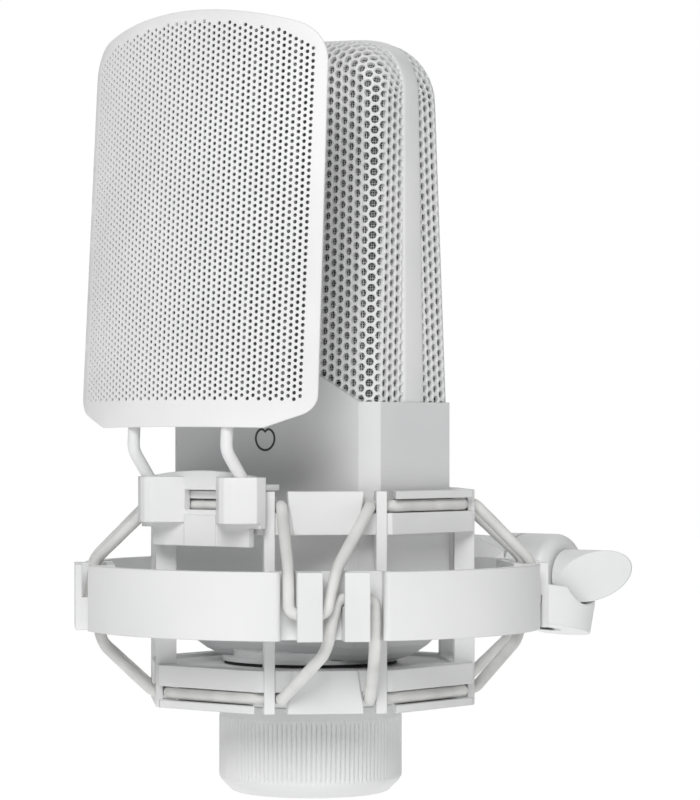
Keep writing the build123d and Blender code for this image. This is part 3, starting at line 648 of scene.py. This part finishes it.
def rounded(before, corner, after, radius):
    """Points of the arc that rounds a corner between two lines."""
    p, a, b = (np.array(q, float) for q in (corner, before, after))
    to_a, to_b = (a - p) / np.linalg.norm(a - p), (b - p) / np.linalg.norm(b - p)
    half = np.arccos(np.clip(to_a @ to_b, -1, 1)) / 2
    centre = p + (to_a + to_b) / np.linalg.norm(to_a + to_b) * radius / np.sin(half)
    start, end = p + to_a * radius / np.tan(half), p + to_b * radius / np.tan(half)
    middle = centre + (p - centre) / np.linalg.norm(p - centre) * radius
    return arc_between(tuple(start), tuple(middle), tuple(end), CORNER_POINTS)


def panel_outline():
    """Outline of the pop filter, counter-clockwise, seen from the front."""
    shoulder, side = (PANEL_TOP_HALF, PANEL_SHOULDER), (PANEL_HALF, PANEL_FOOT_RISE)
    foot = (PANEL_FOOT_HALF, 0)
    crest = arc_between(shoulder, (0, PANEL_TALL), (-PANEL_TOP_HALF, PANEL_SHOULDER), CREST_POINTS)
    right_top = rounded(side, shoulder, crest[CREST_SKIP], PANEL_TOP_ROUND)
    middle = [p for p in crest if abs(p[0]) < right_top[-1][0] - CREST_GAP]
    right = [foot] + rounded(foot, side, shoulder, PANEL_FOOT_ROUND) + right_top
    left = [(-x, z) for x, z in right[::-1]]
    return right + middle + left


def divided(loop, longest):
    """Closed loop with no side longer than longest."""
    points = []
    for (ax, ay), (bx, by) in zip(loop, loop[1:] + loop[:1]):
        count = max(1, int(np.hypot(bx - ax, by - ay) / longest))
        points += [(ax + (bx - ax) * k / count, ay + (by - ay) * k / count) for k in range(count)]
    return np.array(points)


def shrunk(loop, amount):
    """Counter-clockwise loop moved inwards."""
    tangent = np.roll(loop, -1, axis=0) - np.roll(loop, 1, axis=0)
    tangent /= np.linalg.norm(tangent, axis=1, keepdims=True)
    return loop + np.column_stack([-tangent[:, 1], tangent[:, 0]]) * amount


def inside_loop(points, loop):
    """True where a point lies inside a closed loop."""
    x, y = points[:, 0][:, None], points[:, 1][:, None]
    ax, ay = loop[:, 0][None], loop[:, 1][None]
    bx, by = np.roll(ax, -1, axis=1), np.roll(ay, -1, axis=1)
    crosses = (ay > y) != (by > y)
    level = np.where(by == ay, 1e-9, by - ay)
    return (crosses & (x < ax + (y - ay) * (bx - ax) / level)).sum(1) % 2 == 1


def distance_to_loop(points, loop):
    """Distance from each point to a closed loop."""
    a, b = loop[None], np.roll(loop, -1, axis=0)[None]
    p = points[:, None]
    span = b - a
    share = np.clip(((p - a) * span).sum(-1) / (span**2).sum(-1), 0, 1)
    return np.linalg.norm(p - a - share[..., None] * span, axis=-1).min(1)


def panel_map(u, v, depth):
    """Bends flat coordinates round the panel's curve, leans it and stands it before the microphone."""
    angle = u / PANEL_RADIUS
    radius = PANEL_RADIUS - depth
    x = radius * np.sin(angle)
    y = PANEL_RADIUS - radius * np.cos(angle)
    c, s = cos(radians(PANEL_LEAN)), sin(radians(PANEL_LEAN))
    return np.column_stack([x, y * c + v * s - PANEL_FRONT, v * c - y * s + PANEL_BOTTOM])


def ordered_loop(edges):
    """Indices of boundary edges in order round the loop."""
    following = dict(edges)
    start = edges[0][0]
    loop = [start]
    while following[loop[-1]] != start:
        loop.append(following[loop[-1]])
    return loop


def pop_filter():
    """Curved perforated sheet with a plain border and a rounded rim."""
    unrolled = [(PANEL_RADIUS * np.arcsin(x / PANEL_RADIUS), z) for x, z in panel_outline()]
    outline = divided(unrolled, OUTLINE_STEP)
    low, high = (-PANEL_REACH, FILTER_FOOT), (PANEL_REACH, PANEL_TALL)
    centres = lattice(low, high, FILTER_SPACING, FILTER_PITCH)
    far_in = inside_loop(centres, outline) & (distance_to_loop(centres, outline) > FILTER_BORDER)
    centres = centres[far_in]
    rings = ((FILTER_HOLE, 0.0), (FILTER_HOLE, PANEL_SHEET))
    flat, faces, border, count = perforation(centres, FILTER_SPACING, FILTER_PITCH, rings)
    loop = ordered_loop(border)
    rim, facet = shrunk(outline, RIM_ROUND), shrunk(outline, RIM_FACET)
    hole_loop = flat[loop, :2]
    flat_rim = np.concatenate([rim, hole_loop])
    n, m = len(rim), len(loop)
    edges = [(i, (i + 1) % n) for i in range(n)] + [(n + i, n + (i + 1) % m) for i in range(m)]
    _, _, triangles, _, _, _ = delaunay_2d_cdt([Vector(p) for p in flat_rim], edges, [], 0, 1e-5)
    middles = np.array([flat_rim[list(t)].mean(0) for t in triangles])
    band = inside_loop(middles, rim) & ~inside_loop(middles, hole_loop)
    start = len(flat)
    near = [(rim, 0.0), (facet, RIM_FACET), (outline, RIM_ROUND)]
    profile = near + [(ring, PANEL_SHEET - depth) for ring, depth in near[::-1]]
    layers = [flat] + [np.column_stack([ring, np.full(n, depth)]) for ring, depth in profile]
    points = np.concatenate(layers)
    back = start + (len(profile) - 1) * n
    for t, used in zip(triangles, band):
        if used:
            faces.append(tuple(start + i if i < n else loop[i - n] for i in t))
            faces.append(tuple(back + i if i < n else loop[i - n] + count for i in t[::-1]))
    faces += [tuple(start + i for i in quad) for quad in ring_faces(len(profile), n)]
    points = panel_map(points[:, 0], points[:, 1], points[:, 2])
    stands_for = ("filter_panel",)
    piece("filter_screen", points, faces, FILTER_PAINT, "pop_filter", stands_for, sharp=50)
    filter_shade_gauze(outline)


def filter_shade_gauze(outline):
    """Gauze held between the two faces of the sheet, seen through its holes; its dark colour is painted shade
    that darkens the holes.
    """
    u_line = np.arange(-PANEL_REACH, PANEL_REACH, GAUZE_STEP)
    v_line = np.arange(GAUZE_STEP, PANEL_TALL, GAUZE_STEP)
    u, v = [g.ravel() for g in np.meshgrid(u_line, v_line, indexing="ij")]
    flat = np.column_stack([u, v])
    keep = inside_loop(flat, outline) & (distance_to_loop(flat, outline) > GAUZE_MARGIN)
    keep = keep.reshape(len(u_line), len(v_line))
    points, faces = thin_skin(keep, lambda depth: panel_map(u, v, depth), GAUZE_BAND)
    piece("filter_shade_gauze", points, faces, FILTER_SHADE_GAUZE, "pop_filter", ("filter_panel",))


pop_filter()


# ---------------------------------------------------------------- mark on the body
MARK_Z, MARK_SIZE, MARK_STROKE = 64.0, 6.4, 0.55
MARK_THICK, MARK_SUNK = 0.06, 0.02
MARK_POINTS = 72
HEART_WIDE, HEART_MIDDLE = 2.6, 0.7  # width of the plain cardioid, and its height that becomes zero


def pattern_mark():
    """Generic pickup-pattern sign, a heart-shaped loop, printed on the front of the body."""
    turns = np.linspace(0, 2 * pi, MARK_POINTS, endpoint=False)
    reach = 1 + np.cos(turns)
    loop = np.column_stack([np.sin(turns) * reach, np.cos(turns) * reach - HEART_MIDDLE])
    loop *= MARK_SIZE / HEART_WIDE
    inner = shrunk(loop, -MARK_STROKE)
    back, face = -BODY_DEPTH / 2 + MARK_SUNK, -BODY_DEPTH / 2 - MARK_THICK
    rows = []
    for outline, y in ((loop, back), (loop, face), (inner, face), (inner, back)):
        rows.append(np.column_stack([outline[:, 0], np.full(len(outline), y), MARK_Z - outline[:, 1]]))
    faces = ring_faces(len(rows), len(loop), closed_rows=True)
    piece("pattern_mark", np.concatenate(rows), faces, PRINT, "microphone")


pattern_mark()


# ---------------------------------------------------------------- lock nut
RIDGES = 116
RIDGE_SAMPLES = 8
RIDGE_DEEP = 0.55
RIDGE_SHARPNESS = 0.8  # under 1 makes a ridge broad and the groove between two narrow
RIDGE_HIGH, RIDGE_CLEAR = -3.4, 0.5
NUT_GAP = 0.05  # between the nut and the cradle


def lock_nut():
    """Nut with fine upright ridges, a plain band above them and a chamfer below.

    The outside runs from top to foot as (inset from the nut's radius, height, share of the ridges).
    """
    top, foot, bore = -NUT_GAP, -NUT_TALL, STEM_RADIUS
    chamfer_top, ridge_low = foot + NUT_CHAMFER, foot + NUT_CHAMFER + RIDGE_CLEAR
    upper_edge = [(0.9, top, 0), (0.45, top - 0.12, 0), (0.2, top - 0.45, 0)]
    band = [(0.2, RIDGE_HIGH + 0.5, 0), (0.1, RIDGE_HIGH + 0.2, 0)]
    ridges = [(0, RIDGE_HIGH - 0.1, 0.5), (0, RIDGE_HIGH - 0.6, 1)]
    ridges += [(0, ridge_low + 0.6, 1), (0, ridge_low + 0.1, 0.5)]
    chamfer = [(0.1, ridge_low - 0.2, 0), (0.25, chamfer_top, 0), (0.6, chamfer_top - 0.6, 0)]
    lower_edge = [(NUT_CHAMFER - 0.3, foot + 0.3, 0), (NUT_CHAMFER + 0.5, foot, 0)]
    outside = upper_edge + band + ridges + chamfer + lower_edge
    profile = [(bore, top, 0)] + [(NUT_RADIUS - inset, z, share) for inset, z, share in outside]
    profile += [(bore + 1.0, foot, 0), (bore, foot + 0.9, 0)]
    around = RIDGES * RIDGE_SAMPLES
    phase = np.arange(RIDGE_SAMPLES) / RIDGE_SAMPLES
    wave = np.tile(np.sin(pi * phase) ** RIDGE_SHARPNESS - 1.0, RIDGES) * RIDGE_DEEP
    angle = np.arange(around) * 2 * pi / around
    rows = []
    for radius, z, share in profile:
        rho = radius + wave * share
        rows.append(np.column_stack([rho * np.cos(angle), rho * np.sin(angle), np.full(around, z)]))
    faces = ring_faces(len(rows), around, closed_rows=True)
    points = np.concatenate(rows)
    piece("ridged_lock_nut", points, faces, WHITE_PLASTIC, "lock_nut", ("lock_nut",), sharp=60)


lock_nut()


# ---------------------------------------------------------------- elastic cords
BRAID_AROUND = 24
BRAID_STEP = 0.28
BRAID_CARRIERS = 6
BRAID_LAY = 7.0  # length in which a strand goes once round the cord
BRAID_DEEP = 0.13
BEND_SAMPLES = 14
CORD_INSET, BLOCK_INSET = 1.65, 3.2  # how far inside the cradle's faces it lies, and behind the blocks
CORD_OUTSET = 0.6  # how far outside those faces it turns towards the ring
SLOT_RADIUS = CRADLE_APOTHEM - 1.0  # a cord follows the cradle within this radius
HOOK_FAR, HOOK_NEAR = 9.95, 1.35  # where it passes its two hooks, across the diagonal


def cord_route(low):
    """One diagonal's share of a cord as (radial, tangential, height) points and bend radii.

    The lower cord is the upper one turned half round the radial axis at mid-height.
    """
    reach, crest, over = (51.52, 36.4, 51.32) if low else (54.0, 34.4, 52.5)
    run = (CRADLE_APOTHEM - CORD_INSET) * sqrt(0.5)
    inside, outside = CRADLE_APOTHEM - BLOCK_INSET, CRADLE_APOTHEM + CORD_OUTSET
    corner = sqrt(2) * (CRADLE_APOTHEM - CORD_INSET) - inside
    slot = (BLOCK_HALF + POST_IN) / 2
    high = CRADLE_HEIGHT - LIP - CHANNEL / 2
    under = MIDDLE - CORD_RADIUS - 0.25
    points = [(run, -run, high), (inside, -corner, high), (inside, -slot, high), (outside, -slot, high)]
    points += [(over, -HOOK_FAR, crest), (reach, -HOOK_FAR, under)]
    points += [(reach, -HOOK_NEAR, under), (over, 1.2, crest)]
    points += [(outside, slot, high), (inside, slot, high), (inside, corner, high), (run, run, high)]
    radii = [3.0, 1.6, 3.0, 7.0, 2.0, 2.0, 7.0, 3.0, 1.6, 3.0]
    points = np.array(points)
    if low:
        points = points * np.array([1, -1, -1]) + np.array([0, 0, 2 * MIDDLE])
    return points, radii


def eased_path(points, radii, step):
    """Straight runs joined by arcs, as evenly spaced points."""
    path = [points[0]]
    for k, radius in enumerate(radii):
        a, p, b = points[k], points[k + 1], points[k + 2]
        to_a, to_b = (a - p) / np.linalg.norm(a - p), (b - p) / np.linalg.norm(b - p)
        half = np.arccos(np.clip(to_a @ to_b, -1, 1)) / 2
        back = radius / np.tan(half)
        centre = p + (to_a + to_b) / np.linalg.norm(to_a + to_b) * radius / np.sin(half)
        first, last = p + to_a * back - centre, p + to_b * back - centre
        sweep = pi - 2 * half
        for t in np.linspace(0, 1, BEND_SAMPLES):
            path.append(centre + (first * np.sin((1 - t) * sweep) + last * np.sin(t * sweep)) / np.sin(sweep))
    path.append(points[-1])
    path = np.array(path)
    length = np.concatenate([[0], np.cumsum(np.linalg.norm(np.diff(path, axis=0), axis=1))])
    even = np.linspace(0, length[-1], int(length[-1] / step) + 1)
    return np.column_stack([np.interp(even, length, path[:, k]) for k in range(3)])


def braided(path):
    """Tube along a path whose sheath is a braid of crossing strands."""
    direction = np.gradient(path, axis=0)
    direction /= np.linalg.norm(direction, axis=1, keepdims=True)
    side = np.cross(direction[0], (0.3, 0.2, 1.0))
    side /= np.linalg.norm(side)
    travelled = np.concatenate([[0], np.cumsum(np.linalg.norm(np.diff(path, axis=0), axis=1))])
    angle = np.arange(BRAID_AROUND) * 2 * pi / BRAID_AROUND
    rows = []
    for k, point in enumerate(path):
        side = side - direction[k] * (side @ direction[k])
        side /= np.linalg.norm(side)
        other = np.cross(direction[k], side)
        twist = travelled[k] / BRAID_LAY * 2 * pi
        one = np.abs(np.sin(BRAID_CARRIERS * (angle + twist)))
        two = np.abs(np.sin(BRAID_CARRIERS * (angle - twist)))
        radius = CORD_RADIUS - BRAID_DEEP + BRAID_DEEP * np.maximum(one, two)
        rows.append(point + np.outer(radius * np.cos(angle), side) + np.outer(radius * np.sin(angle), other))
    count = len(rows)
    faces = ring_faces(count, BRAID_AROUND)
    faces.append(tuple(range(BRAID_AROUND - 1, -1, -1)))
    faces.append(tuple(range((count - 1) * BRAID_AROUND, count * BRAID_AROUND)))
    return np.concatenate(rows), faces


def turn_about_axis(points, degrees):
    """Points turned about the microphone's axis."""
    c, s = cos(radians(degrees)), sin(radians(degrees))
    return points @ np.array([[c, s, 0], [-s, c, 0], [0, 0, 1]])


def cord_piece(name, part, number, body, stretch, angle):
    """One stretch of a cord, turned to its diagonal."""
    points, faces = braided(turn_about_axis(stretch, angle))
    title, stands_for = f"{name}_cord_{part}_{number}", (name + "_elastic",)
    return piece(title, points, faces, CORD_SHEATH, body, stands_for, sharp=80)


def elastic(name, low):
    """One endless cord: it lies in the cradle's channel and makes a V to the ring at each diagonal."""
    path = eased_path(*cord_route(low), BRAID_STEP)
    out = np.flatnonzero(path[:, 0] > SLOT_RADIUS)
    first, last = out[0], out[-1]
    for number, angle in enumerate(DIAGONALS, 1):
        vee = cord_piece(name, "vee", number, None, path[first : last + 1], angle)
        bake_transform(vee)
        cord_piece(name, "left", number, "microphone", path[: first + 2], angle)
        cord_piece(name, "right", number, "microphone", path[last - 1 :], angle)


elastic("upper", False)
elastic("lower", True)

# ---------------------------------------------------------------- carried-over nodes
for node, shown in frame["nodes"].items():
    if shown.hide_render:
        continue
    shown.data.materials.clear()
    shown.data.materials.append(SLOT_MATERIAL[NODE_SLOT[node]])

# ---------------------------------------------------------------- stage
HORIZON = 64.7
CAMERA_AZIMUTH, CAMERA_DISTANCE = 39.7, 755.0
LENS = 139.3
SHIFT_X, SHIFT_Y = 0.0494, 0.0437
TARGET = 70.0  # height that the lights aim at
AMBIENT = 0.15
FLOOR_GLOW = 0.45
FLOOR_HALF, FLOOR_DROP = 6.0, 0.18  # metres
WHITE = (1.0, 1.0, 1.0, 1.0)


def point_at(thing, target):
    """Turns a light or camera towards a point."""
    thing.rotation_euler = (target - thing.location).to_track_quat("-Z", "Y").to_euler()


def stage_floor():
    """Pale floor, low enough for the microphone to swing down on its stand without reaching it."""
    made = bpy.data.meshes.new("studio_floor")
    z = cad_box[0][2] - FLOOR_DROP
    corners = [(x * FLOOR_HALF, y * FLOOR_HALF, z) for x, y in ((-1, -1), (1, -1), (1, 1), (-1, 1))]
    made.from_pydata(corners, [], [(0, 1, 2, 3)])
    floor = bpy.data.objects.new("studio_floor", made)
    bpy.context.scene.collection.objects.link(floor)
    paper = surface("studio_paper", "F2F2F2", "F7F7F7", 0.9, 2.0, 0.02, patch=0.5)
    glow = paper.node_tree.nodes["Principled BSDF"].inputs
    glow["Emission Color"].default_value = WHITE
    glow["Emission Strength"].default_value = FLOOR_GLOW
    made.materials.append(paper)


def soft_light(name, azimuth, elevation, spread, strength):
    """Broad even light from far away, aimed at the microphone."""
    data = bpy.data.lights.new(name, "SUN")
    data.angle = radians(spread)
    data.energy = strength
    light = bpy.data.objects.new(name, data)
    bpy.context.scene.collection.objects.link(light)
    a, e = radians(azimuth), radians(elevation)
    target = at(0, 0, TARGET)
    light.location = target + Vector((sin(a) * cos(e), -cos(a) * cos(e), sin(e)))
    point_at(light, target)


def studio():
    """Pale floor, a white backdrop with dimmer surroundings, soft lights and the camera."""
    stage_floor()
    world = bpy.data.worlds.new("studio_world")
    world.use_nodes = True
    nodes, links = world.node_tree.nodes, world.node_tree.links
    surroundings = nodes["Background"]
    surroundings.inputs["Color"].default_value = WHITE
    surroundings.inputs["Strength"].default_value = AMBIENT
    backdrop = nodes.new("ShaderNodeBackground")
    backdrop.inputs["Color"].default_value = WHITE
    backdrop.inputs["Strength"].default_value = 1.0
    seen = nodes.new("ShaderNodeLightPath")
    either = nodes.new("ShaderNodeMixShader")
    links.new(seen.outputs["Is Camera Ray"], either.inputs["Fac"])
    links.new(surroundings.outputs["Background"], either.inputs[1])
    links.new(backdrop.outputs["Background"], either.inputs[2])
    links.new(either.outputs["Shader"], nodes["World Output"].inputs["Surface"])
    bpy.context.scene.world = world
    bpy.context.scene.view_settings.view_transform = "Standard"
    soft_light("key_light", 30, 36, 32, 2.0)
    soft_light("side_light", 100, 20, 50, 0.12)
    soft_light("back_light", 215, 35, 50, 0.5)
    data = bpy.data.cameras.new("camera")
    data.lens = LENS
    data.shift_x, data.shift_y = SHIFT_X, SHIFT_Y
    camera = bpy.data.objects.new("camera", data)
    bpy.context.scene.collection.objects.link(camera)
    a = radians(CAMERA_AZIMUTH)
    camera.location = at(CAMERA_DISTANCE * sin(a), -CAMERA_DISTANCE * cos(a), HORIZON)
    point_at(camera, at(0, 0, HORIZON))
    bpy.context.scene.camera = camera


studio()
